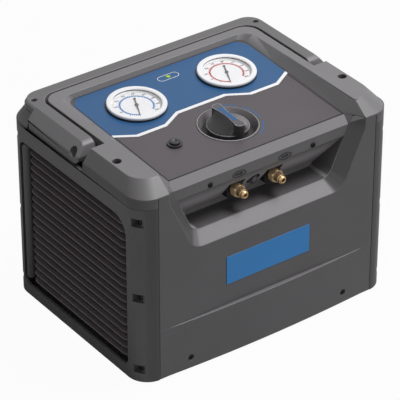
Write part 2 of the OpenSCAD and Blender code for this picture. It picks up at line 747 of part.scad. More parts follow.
module breaker_body() {
  y0 = niche_back - 10;
  color("black") lift() difference() {
    union() {
      tube_y(6.4, y0 - 4, y0 + 1, 0, reset_z);
      tube_y(5, y0, niche_back + 8, 0, reset_z);
      box(-7, 7, niche_back + 8 - eps, block_front + block_t, port_z - 5, port_z + 9);
    }
    tube_y(3.6, y0 - 5, niche_back + 4, 0, reset_z);
  }
}
module reset_button() {
  y0 = niche_back - 10;
  color("dimgray") lift() tube_y(3.2, y0 - 6, niche_back, 0, reset_z);
}

// Cooling
core_x0 = -hx + 22;
core_x1 = core_x0 + 22;
core_z0 = 18;
module condenser_core() {
  fin_pitch = 6;
  fin_gaps = floor(2 * core_half / fin_pitch) - 1;
  color("black") lift() difference() {
    union() {
      box(core_x0, core_x1, -core_half, core_half, core_z0, core_top);
      for (s = [-1, 1]) box(core_x0, core_x1, s * core_half - 1, s * core_half + 1, shelf_z, core_top + 4);
    }
    for (i = [0:fin_gaps - 1]) translate([0, (i - (fin_gaps - 1) / 2) * fin_pitch, 0]) {
      box(core_x0 - cut, core_x0 + 7, -1.5, 1.5, core_z0 + 2, core_top - 2);
      box(core_x1 - 7, core_x1 + cut, -1.5, 1.5, core_z0 + 2, core_top - 2);
    }
    box(-rib_x - 2.2, -rib_x + 2.2, -rib_y, rib_y, shelf_z - cut, shelf_z + 4.2);
  }
}
module condenser_bends() {
  color("peru") lift() for (s = [-1, 1], i = [0:4])
    translate([core_x0 + 11, s * (core_half + 1), 40 + i * (core_top - 64) / 4 + (s > 0 ? 0 : 8)])
      rotate([0, -90, 0])
      rotate([s > 0 ? 0 : 180, 0, 0]) rotate_extrude(angle = 180) translate([8, 0]) circle(r = 3.5, $fn = 32);
}
module fan_shroud() {
  x0 = core_x1 + 2;
  color("dimgray") lift() difference() {
    union() {
      box(x0, x0 + 3, -core_half - 4, core_half + 4, shelf_z, core_top + 2);
      tube_x(fan_r + 5, x0, x0 + 22, 0, fan_z);
      box(x0, x0 + 16, -core_half - 4, core_half + 4, shelf_z, shelf_z + 3);
    }
    tube_x(fan_r + 2.5, x0 - cut, x0 + 30, 0, fan_z);
  }
}
module fan_rotor() {
  x0 = core_x1 + 5;
  color("darkgray") lift() translate([x0, 0, fan_z]) rotate([0, 90, 0]) {
    difference() {
      cylinder(r = fan_hub_r, h = 15);
      translate([0, 0, 3]) cylinder(r = fan_hub_r - 2.5, h = 13);
    }
    cylinder(r = 4.5, h = 15);
    cylinder(r = 2.5, h = 31);
    for (i = [0:fan_blades - 1]) rotate([0, 0, i * 360 / fan_blades])
      intersection() {
        translate([fan_hub_r - 1, 0, 7.5]) rotate([24, 0, 0]) translate([0, -19, -0.9])
          cube([fan_r - fan_hub_r + 4, 38, 1.8]);
        translate([0, 0, -4]) difference() {
          cylinder(r = fan_r, h = 24);
          translate([0, 0, -1]) cylinder(r = fan_hub_r - 0.8, h = 40);
        }
      }
  }
}
module fan_motor() {
  x0 = core_x1 + 24;
  color("black") lift() difference() {
    union() {
      tube_x(26, x0 + 3, x0 + 36, 0, fan_z);
      for (a = [45:90:315]) translate([x0, 0, fan_z]) rotate([a, 0, 0]) box(0, 4, -4, 4, 20, fan_r + 4.5);
    }
    tube_x(2.9, x0 - cut, x0 + 14, 0, fan_z);
    tube_x(12, x0 - cut, x0 + 3, 0, fan_z);
  }
}

// Compressor
mount_x = [-24, 112];
mount_y = 34.5;
module compressor_motor() {
  color("slategray") lift() difference() {
    union() {
      tube_x(motor_r, -40, 52, motor_y, motor_z);
      for (i = [0:5]) tube_x(motor_r + 1.5, -34 + i * 12, -28 + i * 12, motor_y, motor_z);
      box(-34, 120, motor_y - 42, motor_y + 42, shelf_z + 10, shelf_z + 14);
      for (s = [-1, 1])
        box(-24, 40, motor_y + s * 23 - 3.5, motor_y + s * 23 + 3.5, shelf_z + 13, motor_z - 28);
    }
    for (x = mount_x, s = [-1, 1]) tube_z(3.2, shelf_z, shelf_z + 30, x, motor_y + s * mount_y);
  }
}
module crankcase() {
  color("gainsboro") lift() {
    box(52, 104, motor_y - 34, motor_y + 34, shelf_z + 14, motor_z + 34);
    tube_x(24, 104 - eps, 112, motor_y, motor_z);
  }
}
module cylinder_barrel() {
  z0 = motor_z + 34;
  color("gainsboro") lift() {
    tube_z(23, z0, z0 + 36, head_x, motor_y);
    for (i = [0:4]) tube_z(28, z0 + 4 + i * 6.5, z0 + 6.5 + i * 6.5, head_x, motor_y);
  }
}
module cylinder_head() {
  z0 = motor_z + 70;
  color("silver") lift() difference() {
    box(head_x - 26, head_x + 26, motor_y - 26, motor_y + 26, z0, z0 + 16);
    for (i = [0:4])
      box(head_x - 22 + i * 10, head_x - 18 + i * 10, motor_y - 27, motor_y + 27, z0 + 11, z0 + 17);
  }
}
module compressor_mounts() {
  color("black") lift() for (x = mount_x, s = [-1, 1]) translate([x, motor_y + s * mount_y, shelf_z]) {
    cylinder(r = 8, h = 10);
    cylinder(r = 3, h = 17);
    translate([0, 0, 14]) cylinder(r = 6, h = 3);
  }
}

// Copper lines run between the head, the condenser, the valve and the gauges, with brazed elbows.
elbow = 1.25;
module bent_line(p, r) {
  for (i = [0:len(p) - 2]) {
    lo = [for (k = [0:2]) min(p[i][k], p[i + 1][k])];
    hi = [for (k = [0:2]) max(p[i][k], p[i + 1][k])];
    if (hi[0] > lo[0]) tube_x(r, lo[0], hi[0], lo[1], lo[2]);
    else if (hi[1] > lo[1]) tube_y(r, lo[1], hi[1], lo[0], lo[2]);
    else tube_z(r, lo[2], hi[2], lo[0], lo[1]);
    if (i > 0) translate(p[i]) sphere(r = elbow * r, $fn = 32);
  }
}
module refrigerant_tubes() {
  head_z = motor_z + 86;
  run_z = core_top - 8;
  valve_z = deck_z(knob_y) - 54;
  stub_y = gauge_y + 40 * sin(deck_tilt);
  stub_z = deck_z(gauge_y) - 40 * cos(deck_tilt);
  color("peru") lift() {
    bent_line([[head_x - 10, motor_y, head_z], [head_x - 10, motor_y, head_z + 8],
      [head_x - 10, knob_y + 6.4, head_z + 8], [10, knob_y + 6.4, head_z + 8], [10, knob_y + 6.4, valve_z]], 3);
    bent_line([[head_x + 12, motor_y, head_z], [head_x + 12, motor_y, run_z],
      [head_x + 12, core_half + 16, run_z],
      [core_x1 - 10, core_half + 16, run_z], [core_x1 - 10, core_half + 1, run_z]], 3);
    for (s = [-1, 1])
      bent_line([[s * gauge_x, stub_y, stub_z], [s * gauge_x, stub_y, port_z + 1],
        [s * gauge_x, -40, port_z + 1],
        [s * (port_x + 8), -40, port_z + 1], [s * (port_x + 8), block_front + block_t, port_z + 1]], 2);
  }
}
module control_board() {
  color("darkgreen") lift() {
    box(board_x, board_x + 2, -70, 60, 20, 130);
    box(board_x - 6, board_x + eps, -50, -20, 50, 90);
    for (y = [-68, 58]) box(board_x - 2, board_x + 4, y - 4, y + 4, shelf_z, 40);
  }
}
module power_inlet() {
  z0 = inlet_z;
  color("black") lift() difference() {
    union() {
      box(-25, 25, hy, hy + 2.5, z0 - 13.5, z0 + 13.5);
      box(-13.7, 13.7, hy - 22, hy + eps, z0 - 9.7, z0 + 9.7);
    }
    box(-12, 12, hy - 16, hy + 4, z0 - 8, z0 + 8);
    for (s = [-1, 1]) tube_y(1.7, hy - 1, hy + 4, s * 20, z0);
  }
  color("silver") lift() for (x = [-7, 0, 7])
    box(x - 1, x + 1, hy - 16 - eps, hy - 3, z0 - 2 + (x == 0 ? 4 : 0), z0 + 2 + (x == 0 ? 4 : 0));
}

base_tray();
front_panel();
rear_panel();
left_end_cap();
right_end_cap();
left_grille();
right_grille();
left_rail();
right_rail();
top_cover();
console();
badge_plate();
feet();
cap_screws();
top_screws();
front_screws();
port_screws();
carry_handle();
handle_pins();
handle_screws();
control_panel();
panel_label();
label_stripe();
status_lamp();
knob_well();
selector_knob();
knob_inlay();
valve_stem();
valve_body();
button_collar();
power_button();
low_case();
low_dial();
low_pointer();
low_lens();
low_bezel();
high_case();
high_dial();
high_pointer();
high_lens();
high_bezel();
port_block();
inlet_fitting();
outlet_fitting();
breaker_body();
reset_button();
condenser_core();
condenser_bends();
fan_shroud();
fan_rotor();
fan_motor();
compressor_motor();
crankcase();
cylinder_barrel();
cylinder_head();
compressor_mounts();
refrigerant_tubes();
control_board();
power_inlet();
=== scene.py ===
"""Looks of a portable refrigerant recovery machine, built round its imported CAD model."""
import math

import bmesh
import bpy
from bpy.props import FloatProperty, FloatVectorProperty, IntProperty, PointerProperty
from bpy.types import Operator, Panel, PropertyGroup
from mathutils import Matrix, Vector


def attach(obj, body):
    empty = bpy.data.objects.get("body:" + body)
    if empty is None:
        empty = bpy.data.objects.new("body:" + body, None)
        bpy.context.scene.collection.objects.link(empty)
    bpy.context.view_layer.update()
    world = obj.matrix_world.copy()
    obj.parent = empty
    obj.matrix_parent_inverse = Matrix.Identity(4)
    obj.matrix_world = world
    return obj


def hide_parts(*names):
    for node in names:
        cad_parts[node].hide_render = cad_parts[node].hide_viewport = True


bl_info = {
    "name": "Refrigerant recovery machine",
    "version": (1, 0, 0),
    "blender": (4, 5, 0),
    "location": "View3D > Sidebar > Recovery",
    "description": "Finishes, gauges, ports, screws and stage of a portable recovery machine",
    "category": "Object",
}

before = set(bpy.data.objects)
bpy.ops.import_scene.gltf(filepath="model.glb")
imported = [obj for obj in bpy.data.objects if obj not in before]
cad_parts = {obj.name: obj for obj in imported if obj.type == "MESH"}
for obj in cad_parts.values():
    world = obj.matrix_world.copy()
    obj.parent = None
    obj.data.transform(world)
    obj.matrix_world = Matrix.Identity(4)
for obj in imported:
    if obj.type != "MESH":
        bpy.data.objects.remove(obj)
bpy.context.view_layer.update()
MM = 0.001

# Places and sizes in mm, angles in radians. The deck is the tilted control panel. SHARP is the angle
# between two faces from which their edge is rounded or shaded as a sharp one.
DECK_TILT = math.radians(2.7)
DECK_FRONT_Y, DECK_FRONT_Z = -106, 238
KNOB_Y = -51.4
GAUGE_X, GAUGE_Y = 62, 34.4
PORT_X, PORT_Z, POCKET_Z = 25.9, 192, 191.85
BODY_WIDTH = 345
SHARP = math.radians(32)


def linear(code):
    """Turns an sRGB hex colour into the linear values that Blender's colour sockets take."""
    parts = [int(code[i:i + 2], 16) / 255 for i in (1, 3, 5)]
    return tuple(c / 12.92 if c <= 0.04045 else ((c + 0.055) / 1.055) ** 2.4 for c in parts)


def colour(code, name, description):
    """A colour property whose default is written as a hex value."""
    return FloatVectorProperty(name=name, description=description, subtype="COLOR", size=3, min=0, max=1,
                               default=linear(code))


class RecoveryFinish(PropertyGroup):
    """Colours of the machine."""
    housing: colour("#7b797b", "Housing", "Cover, console and handle")
    # The shells' grey is a darker copy of the housing's grey: painted shade for their mostly upright faces.
    caps: colour("#727072", "Shells", "End caps, rails, front and rear panels")
    deck: colour("#555054", "Deck", "Control panel under the label")
    grille: colour("#817a7d", "Grille", "Louvres in the end caps")
    blue: colour("#2b5a89", "Blue film", "Label and knob inlay")
    badge: colour("#459dec", "Badge", "Bare plate on the front")
    white: colour("#fafafc", "White print", "Stripe, bezels and dials")
    black: colour("#353436", "Black plastic", "Knob, button and gauge cases")
    brass: colour("#dcb887", "Brass", "Flare ports")
    low: colour("#2c77bd", "Low scale", "Arc of the low-pressure dial")
    high: colour("#b3262d", "High scale", "Arc of the high-pressure dial")


class RecoverySizes(PropertyGroup):
    """Sizes of the details that the looks add."""
    edge: FloatProperty(name="Edge radius", description="Rounding on the moulded edges", default=0.9 * MM,
                        min=0, max=3 * MM, unit="LENGTH", precision=5)
    blades: IntProperty(name="Louvres", description="Blades in each grille", default=18, min=10, max=24)
    thread: FloatProperty(name="Thread pitch", description="Pitch of the flare thread, 20 to the inch",
                          default=1.27 * MM, min=0.5 * MM, max=3 * MM, unit="LENGTH", precision=5)
    ticks: IntProperty(name="Dial marks", description="Fine marks on each dial", default=51, min=11, max=101)


# Node trees

def add(tree, kind, links=None, **settings):
    """Adds one node, sets its properties and socket defaults, and links what feeds it."""
    node = tree.nodes.new(kind)
    for key, value in settings.items():
        setattr(node, key, value)
    for key, value in (links or {}).items():
        socket = node.inputs[key]
        if isinstance(value, bpy.types.NodeSocket):
            tree.links.new(value, socket)
        else:
            socket.default_value = value
    return node


def surface(name):
    """A new material with an empty tree, its Principled shader and the object's coordinates in metres."""
    material = bpy.data.materials.new(name)
    material.use_nodes = True
    tree = material.node_tree
    tree.nodes.clear()
    shader = add(tree, "ShaderNodeBsdfPrincipled")
    add(tree, "ShaderNodeOutputMaterial", {"Surface": shader.outputs[0]})
    place = add(tree, "ShaderNodeTexCoord").outputs["Object"]
    return material, tree, shader, place


def principled(material):
    """The Principled shader of a material."""
    return next(n for n in material.node_tree.nodes if n.type == "BSDF_PRINCIPLED")


def shade(rgb, factor):
    """A colour made darker or lighter by a factor, with full alpha."""
    return (rgb[0] * factor, rgb[1] * factor, rgb[2] * factor, 1.0)


def grained(name, rgb, rough, grain_mm, depth, spread=0.08, spec=0.35, metal=0.0):
    """A surface with a fine grain and a slow drift of tone: the grain breaks up highlights and the
    drift keeps broad faces from looking flat."""
    material, tree, shader, place = surface(name)
    grain = add(tree, "ShaderNodeTexNoise", {"Vector": place, "Scale": 1 / (grain_mm * MM), "Detail": 3.0})
    drift = add(tree, "ShaderNodeTexNoise", {"Vector": place, "Scale": 1 / (60 * MM), "Detail": 2.0})
    tone = add(tree, "ShaderNodeMix", {"Factor": drift.outputs["Fac"], "A": shade(rgb, 1 - spread),
                                       "B": shade(rgb, 1 + spread)}, data_type="RGBA")
    speck = add(tree, "ShaderNodeMapRange", {"Value": grain.outputs["Fac"], "From Min": 0.3, "From Max": 0.7,
                                             "To Min": rough - 0.05, "To Max": rough + 0.05})
    bump = add(tree, "ShaderNodeBump", {"Height": grain.outputs["Fac"], "Strength": depth,
                                        "Distance": 0.1 * MM})
    tree.links.new(tone.outputs["Result"], shader.inputs["Base Color"])
    tree.links.new(speck.outputs["Result"], shader.inputs["Roughness"])
    tree.links.new(bump.outputs["Normal"], shader.inputs["Normal"])
    shader.inputs["Specular IOR Level"].default_value = spec
    shader.inputs["Metallic"].default_value = metal
    return material


def moulded(name, rgb):
    """Spark-textured ABS: a matt moulded skin with a soft sheen."""
    return grained(name, rgb, 0.42, 0.7, 0.25, spec=0.4)


def ink(name, rgb, spread=0.02):
    """Screen ink: a thin, slightly glossy film that reads as crisp print."""
    return grained(name, rgb, 0.4, 0.5, 0.02, spread)


def blue_film(rgb):
    """Polycarbonate film: an even, satin blue, shared by the label and the knob's inlay."""
    name = "polycarbonate_film_blue"
    return bpy.data.materials.get(name) or grained(name, rgb, 0.38, 0.5, 0.06, 0.03)


def span(tree, value, low, high):
    """A ramp that runs from 0 at low to 1 at high."""
    ramp = add(tree, "ShaderNodeMapRange", {"Value": value, "From Min": low, "From Max": high})
    return ramp.outputs["Result"]


def maths(tree, operation, *values):
    """The result of one math node."""
    return add(tree, "ShaderNodeMath", dict(enumerate(values)), operation=operation).outputs[0]


def dot(tree, a, b):
    """The dot product of two vectors."""
    return add(tree, "ShaderNodeVectorMath", {0: a, 1: b}, operation="DOT_PRODUCT").outputs["Value"]


def axes(tree):
    """The object's coordinates in metres, one socket for each axis."""
    place = add(tree, "ShaderNodeTexCoord").outputs["Object"]
    return add(tree, "ShaderNodeSeparateXYZ", {"Vector": place}).outputs


def squares(tree, a, b):
    """The sum of two squared values."""
    return maths(tree, "ADD", maths(tree, "MULTIPLY", a, a), maths(tree, "MULTIPLY", b, b))


def tint(material, mask, rgb):
    """Mixes a second colour into a finish wherever the mask, built in its tree, is set."""
    tree = material.node_tree
    shader = principled(material)
    tone = shader.inputs["Base Color"].links[0].from_socket
    mix = add(tree, "ShaderNodeMix", {"Factor": mask(tree), "A": tone, "B": rgb}, data_type="RGBA")
    tree.links.new(mix.outputs["Result"], shader.inputs["Base Color"])
    return material


def towards(tree, direction, low, high):
    """A mask of the faces that turn towards a direction."""
    normal = add(tree, "ShaderNodeTexCoord").outputs["Normal"]
    return span(tree, dot(tree, normal, direction), low, high)


def turned(material, rgb, *faces):
    """Paints light and shade into the tone of the faces that turn towards given directions. Each entry of
    faces is a direction, the dot products at which the tint begins and is full, and the factor on the colour."""
    for direction, low, high, factor in faces:
        tint(material, lambda tree: towards(tree, direction, low, high), shade(rgb, factor))
    return material


# Meshes

def keep(name, mesh, material, body, smooth=True, replaces=()):
    """Makes a mesh a piece of the model: cleans it, shades it by angle and lets it ride on a body."""
    obj = bpy.data.objects.new(name, mesh)
    bpy.context.scene.collection.objects.link(obj)
    work = bmesh.new()
    work.from_mesh(mesh)
    bmesh.ops.remove_doubles(work, verts=work.verts, dist=1e-6)
    bmesh.ops.recalc_face_normals(work, faces=work.faces)
    work.to_mesh(mesh)
    work.free()
    mesh.materials.clear()
    mesh.materials.append(material)
    if smooth:
        mesh.shade_smooth()
        mesh.set_sharp_from_angle(angle=SHARP)
    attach(obj, body)
    if replaces:
        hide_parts(*replaces)
    return obj


def dress(nodes, material, edge=0.0):
    """Gives CAD nodes a finish and, where edge is set, rounds their edges."""
    for name in nodes:
        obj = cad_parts[name]
        obj.data.materials.clear()
        obj.data.materials.append(material)
        if not edge:
            continue
        weld = obj.modifiers.new("weld", "WELD")
        weld.merge_threshold = 0.005 * MM
        flat = obj.modifiers.new("flat", "DECIMATE")
        flat.decimate_type = "DISSOLVE"
        flat.angle_limit = math.radians(0.4)
        bevel = obj.modifiers.new("edge", "BEVEL")
        bevel.width = edge
        bevel.segments = 2
        bevel.limit_method = "ANGLE"
        bevel.angle_limit = SHARP
        bevel.use_clamp_overlap = False
        bevel.harden_normals = False
        smooth = obj.modifiers.new("shade", "WEIGHTED_NORMAL")
        smooth.keep_sharp = False


def on_deck(x, y):
    """The place of a point on the tilted control panel, in mm."""
    z = DECK_FRONT_Z + (y - DECK_FRONT_Y) * math.tan(DECK_TILT)
    return Matrix.Translation((x, y, z)) @ Matrix.Rotation(DECK_TILT, 4, "X")


def polar(r, angle):
    """A point at a radius and an angle in radians."""
    return (r * math.cos(angle), r * math.sin(angle))


def circle(rx, ry=None, count=96):
    """Points round a circle, or round an ellipse when ry is given."""
    ry = rx if ry is None else ry
    angles = [2 * math.pi * i / count for i in range(count)]
    return [(rx * math.cos(a), ry * math.sin(a)) for a in angles]


def capsule(half, r, count=16):
    """A slot along X with round ends, whose end centres lie half away from the middle."""
    ends = [(1, -90), (-1, 90)]
    return [(s * half + r * math.cos(math.radians(a + 180 * i / count)),
             r * math.sin(math.radians(a + 180 * i / count))) for s, a in ends for i in range(count + 1)]


def rounded(half_x, half_y, r, count=8):
    """A rectangle with round corners."""
    corners = [(1, 1, 0), (-1, 1, 90), (-1, -1, 180), (1, -1, 270)]
    return [(sx * (half_x - r) + r * math.cos(math.radians(a + 90 * i / count)),
             sy * (half_y - r) + r * math.sin(math.radians(a + 90 * i / count)))
            for sx, sy, a in corners for i in range(count + 1)]


def box(x0, x1, y0, y1):
    """The corners of a rectangle."""
    return [(x0, y0), (x1, y0), (x1, y1), (x0, y1)]


def arc_band(inner, outer, first, last, count):
    """The outline of a flat arc between two radii, from one angle in degrees to another."""
    steps = [math.radians(first + (last - first) * i / count) for i in range(count + 1)]
    return [polar(inner, a) for a in steps] + [polar(outer, a) for a in reversed(steps)]


class Solid:
    """Collects the points and faces of a piece, in mm, and turns them into metres at the end."""

    def __init__(self):
        self.verts, self.faces = [], []

    def loops(self, rows, place=None, closed=False):
        """Skins rows of points; the first and last rows are capped, or joined to each other when closed."""
        place = place or Matrix.Identity(4)
        base, count = len(self.verts), len(rows[0])
        self.verts += [place @ Vector(point) for row in rows for point in row]
        last = len(rows) if closed else len(rows) - 1
        for j in range(last):
            a, b = base + j * count, base + (j + 1) % len(rows) * count
            self.faces += [(a + i, a + (i + 1) % count, b + (i + 1) % count, b + i) for i in range(count)]
        if not closed:
            self.faces.append(tuple(range(base + count - 1, base - 1, -1)))
            self.faces.append(tuple(range(base + (len(rows) - 1) * count, base + len(rows) * count)))
        return self

    def prism(self, outline, low, high, place=None):
        """Raises an outline between two heights."""
        return self.loops([[(x, y, low) for x, y in outline], [(x, y, high) for x, y in outline]], place)

    def ring(self, outer, inner, low, high, place=None):
        """Raises the band between two outlines that have equal numbers of points."""
        rows = [(outer, low), (outer, high), (inner, high), (inner, low)]
        return self.loops([[(x, y, z) for x, y in line] for line, z in rows], place, True)

    def lathe(self, profile, count=64, place=None, closed=False):
        """Turns a profile of radius and height; a radius may be a function of the angle."""
        rows = []
        for r, z in profile:
            angles = [2 * math.pi * i / count for i in range(count)]
            radii = [r(a) if callable(r) else r for a in angles]
            rows.append([(q * math.cos(a), q * math.sin(a), z) for q, a in zip(radii, angles)])
        return self.loops(rows, place, closed)

    def mesh(self, name):
        """The collected faces as a mesh in metres."""
        mesh = bpy.data.meshes.new(name)
        mesh.from_pydata([tuple(v * MM) for v in self.verts], [], self.faces)
        return mesh


def evaluated_mesh(obj):
    """A copy of an object's mesh with its modifiers or curve settings applied."""
    bpy.context.view_layer.update()
    return bpy.data.meshes.new_from_object(obj.evaluated_get(bpy.context.evaluated_depsgraph_get()))


def repeat_tree():
    """Geometry nodes that set a piece on every point, turned and sized by the points' own attributes."""
    tree = bpy.data.node_groups.new("repeat_piece", "GeometryNodeTree")
    for name, kind in (("Points", "NodeSocketGeometry"), ("Piece", "NodeSocketObject"),
                       ("Finish", "NodeSocketMaterial")):
        tree.interface.new_socket(name=name, in_out="INPUT", socket_type=kind)
    tree.interface.new_socket(name="Geometry", in_out="OUTPUT", socket_type="NodeSocketGeometry")
    given = add(tree, "NodeGroupInput").outputs
    turn = add(tree, "GeometryNodeInputNamedAttribute", {"Name": "turn"}, data_type="FLOAT_VECTOR")
    size = add(tree, "GeometryNodeInputNamedAttribute", {"Name": "size"}, data_type="FLOAT_VECTOR")
    piece = add(tree, "GeometryNodeObjectInfo", {"Object": given["Piece"]})
    spread = add(tree, "GeometryNodeInstanceOnPoints", {
        "Points": given["Points"], "Instance": piece.outputs["Geometry"],
        "Rotation": turn.outputs["Attribute"], "Scale": size.outputs["Attribute"]})
    real = add(tree, "GeometryNodeRealizeInstances", {"Geometry": spread.outputs[0]})
    done = add(tree, "GeometryNodeSetMaterial", {"Geometry": real.outputs[0], "Material": given["Finish"]})
    add(tree, "NodeGroupOutput", {"Geometry": done.outputs[0]})
    return tree


def repeat(name, piece, places, material, body, replaces=()):
    """Sets a mesh at places (point in mm, turn in radians, size) with geometry nodes and keeps the result."""
    tree = bpy.data.node_groups.get("repeat_piece") or repeat_tree()
    points = bpy.data.meshes.new(name)
    points.from_pydata([tuple(Vector(p) * MM) for p, _, _ in places], [], [])
    for key, column in (("turn", 1), ("size", 2)):
        values = points.attributes.new(key, "FLOAT_VECTOR", "POINT")
        values.data.foreach_set("vector", [c for place in places for c in place[column]])
    source = bpy.data.objects.new(name + "_source", piece)
    host = bpy.data.objects.new(name + "_points", points)
    for obj in (source, host):
        bpy.context.scene.collection.objects.link(obj)
    nodes = host.modifiers.new("repeat", "NODES")
    nodes.node_group = tree
    inputs = {i.name: i.identifier for i in tree.interface.items_tree if i.in_out == "INPUT"}
    nodes[inputs["Piece"]] = source
    nodes[inputs["Finish"]] = material
    made = evaluated_mesh(host)
    for obj in (host, source):
        bpy.data.objects.remove(obj)
    if not made.polygons:
        raise RuntimeError(name + " came out empty")
    return keep(name, made, material, body, True, replaces)


def screw_head():
    """A pan head of 1 mm radius with a cross recess, its seat at the origin and its axis along +Z."""
    work = bmesh.new()
    count, top, floor_z = 32, 0.66, 0.3

    def loop(points, z):
        return [work.verts.new((x * MM, y * MM, z * MM)) for x, y in points]

    def skin(a, b):
        for i in range(len(a)):
            work.faces.new((a[i], a[(i + 1) % len(a)], b[(i + 1) % len(a)], b[i]))

    profile = ((0.45, -2.0), (0.45, 0), (1, 0), (1, 0.42), (0.9, 0.58), (0.74, top))
    rows = [loop(circle(r, None, count), z) for r, z in profile]
    for a, b in zip(rows, rows[1:]):
        skin(a, b)
    work.faces.new(rows[0])
    w, l = 0.13, 0.56
    cross = [(l, -w), (l, w), (w, w), (w, l), (-w, l), (-w, w),
             (-l, w), (-l, -w), (-w, -w), (-w, -l), (w, -l), (w, -w)]
    lip, floor = loop(cross, top), loop([(x * 0.8, y * 0.8) for x, y in cross], floor_z)
    skin(lip, floor)
    work.faces.new(floor)
    edges = [work.edges.get((line[i - 1], line[i])) or work.edges.new((line[i - 1], line[i]))
             for line in (rows[-1], lip) for i in range(len(line))]
    bmesh.ops.triangle_fill(work, use_beauty=True, edges=edges)
    mesh = bpy.data.meshes.new("screw_head")
    work.to_mesh(mesh)
    work.free()
    return mesh


def numerals(values, radius, height, sweep, start):
    """Small figures set round a dial, as thin meshes gathered in one solid."""
    solid = Solid()
    for i, value in enumerate(values):
        curve = bpy.data.curves.new("figure", "FONT")
        curve.body = value
        curve.size = height
        curve.align_x, curve.align_y = "CENTER", "CENTER"
        curve.extrude = 0.03
        curve.offset = 0.1
        obj = bpy.data.objects.new("figure", curve)
        bpy.context.scene.collection.objects.link(obj)
        mesh = evaluated_mesh(obj)
        angle = math.radians(start - sweep * i / (len(values) - 1))
        place = Vector((*polar(radius, angle), 0))
        base = len(solid.verts)
        solid.verts += [place + v.co for v in mesh.vertices]
        solid.faces += [tuple(base + k for k in f.vertices) for f in mesh.polygons]
        bpy.data.objects.remove(obj)
        bpy.data.meshes.remove(mesh)
    return solid


# Operators

class RECOVERY_OT_housing(Operator):
    """Finishes the moulded shells, rails, cover, console, handle and base"""
    bl_idname = "recovery.housing"
    bl_label = "Housing"

    def execute(self, context):
        look = context.scene.recovery_finish
        edge = context.scene.recovery_sizes.edge
        # Tones follow the photo. Faces turned to the left read darker on the cover, rails and rear.
        # Painted shade: faces turned to the left are darkened, and the cover's faces that slope down to the
        # front are darkened a little.
        left = ((-0.85, -0.1, 0.5), 0.55, 0.95)
        shell = moulded("moulded_abs_grey", look.housing)
        turned(shell, look.housing, (*left, 0.62), ((0, -0.84, 0.54), 0.95, 0.98, 0.8))
        dress(["top_cover"], shell, edge)
        cap = turned(moulded("moulded_abs_dark", look.caps), look.caps, (*left, 0.68))
        dress(["left_rail", "right_rail", "rear_panel"], cap, edge)
        # Painted light and shade: the bail's facets turned to the left are lightened and its top is darkened,
        # so that its arms read as folded.
        bail = moulded("moulded_abs_handle", look.housing)
        turned(bail, look.housing, ((-0.8, 0, 0.59), 0.9, 0.97, 1.25), ((0, 0, 1), 0.97, 0.995, 0.71))
        dress(["carry_handle"], bail, edge)
        # Painted shade: the end caps and the base are darkened on the faces turned to the front.
        plain = turned(moulded("moulded_abs_cap", look.caps), look.caps, ((0, -1, 0), 0.75, 0.98, 0.65))
        dress(["left_end_cap", "right_end_cap", "base_tray"], plain)
        # Painted light and shade: the sill under the niche is lightened, and the slopes and the corner beside
        # it are darkened.
        sill = turned(moulded("moulded_abs_front", look.caps), look.caps,
                      ((0, -0.707, 0.707), 0.955, 0.99, 1.75),
                      ((0.65, -0.7, 0.29), 0.93, 0.98, 0.5),
                      ((-0.65, -0.7, 0.29), 0.93, 0.98, 0.6),
                      ((-0.33, -0.73, 0.6), 0.96, 0.99, 0.45))
        dress(["front_panel"], sill, edge)
        # Painted light and shade in the niche: its back is lightened towards the bottom and the facet above
        # it is lightened, its floor and the cheek turned to the left are darkened, and the insides of the
        # pockets and of the breaker's hole are painted near black as deep shade.
        niche = moulded("moulded_abs_console", look.housing)
        tint(niche, self.depth, shade(look.housing, 2.4))
        turned(niche, look.housing,
               ((0, 0, 1), 0.9, 0.97, 0.6),
               ((-1, 0, 0), 0.3, 0.6, 0.58),
               ((0, -0.764, 0.645), 0.95, 0.99, 1.25))
        tint(niche, self.pockets, shade(look.housing, 0.05))
        dress(["console"], niche)
        return {"FINISHED"}

    def depth(self, tree):
        """The lower part of the niche."""
        return span(tree, axes(tree)["Z"], 214 * MM, 198 * MM)

    def pockets(self, tree):
        """The two square pockets of the ports and the round hole of the breaker between them."""
        half_wide, half_high, hole_z, hole_r = 11.25 * MM, 10.4 * MM, 194 * MM, 8.03 * MM
        x, _, z = axes(tree)
        away = maths(tree, "ABSOLUTE", x)
        side = maths(tree, "ABSOLUTE", maths(tree, "SUBTRACT", away, PORT_X * MM))
        rise = maths(tree, "ABSOLUTE", maths(tree, "SUBTRACT", z, POCKET_Z * MM))
        port = maths(tree, "MULTIPLY", maths(tree, "LESS_THAN", side, half_wide),
                     maths(tree, "LESS_THAN", rise, half_high))
        reach = squares(tree, x, maths(tree, "SUBTRACT", z, hole_z))
        return maths(tree, "MAXIMUM", port, maths(tree, "LESS_THAN", reach, hole_r ** 2))


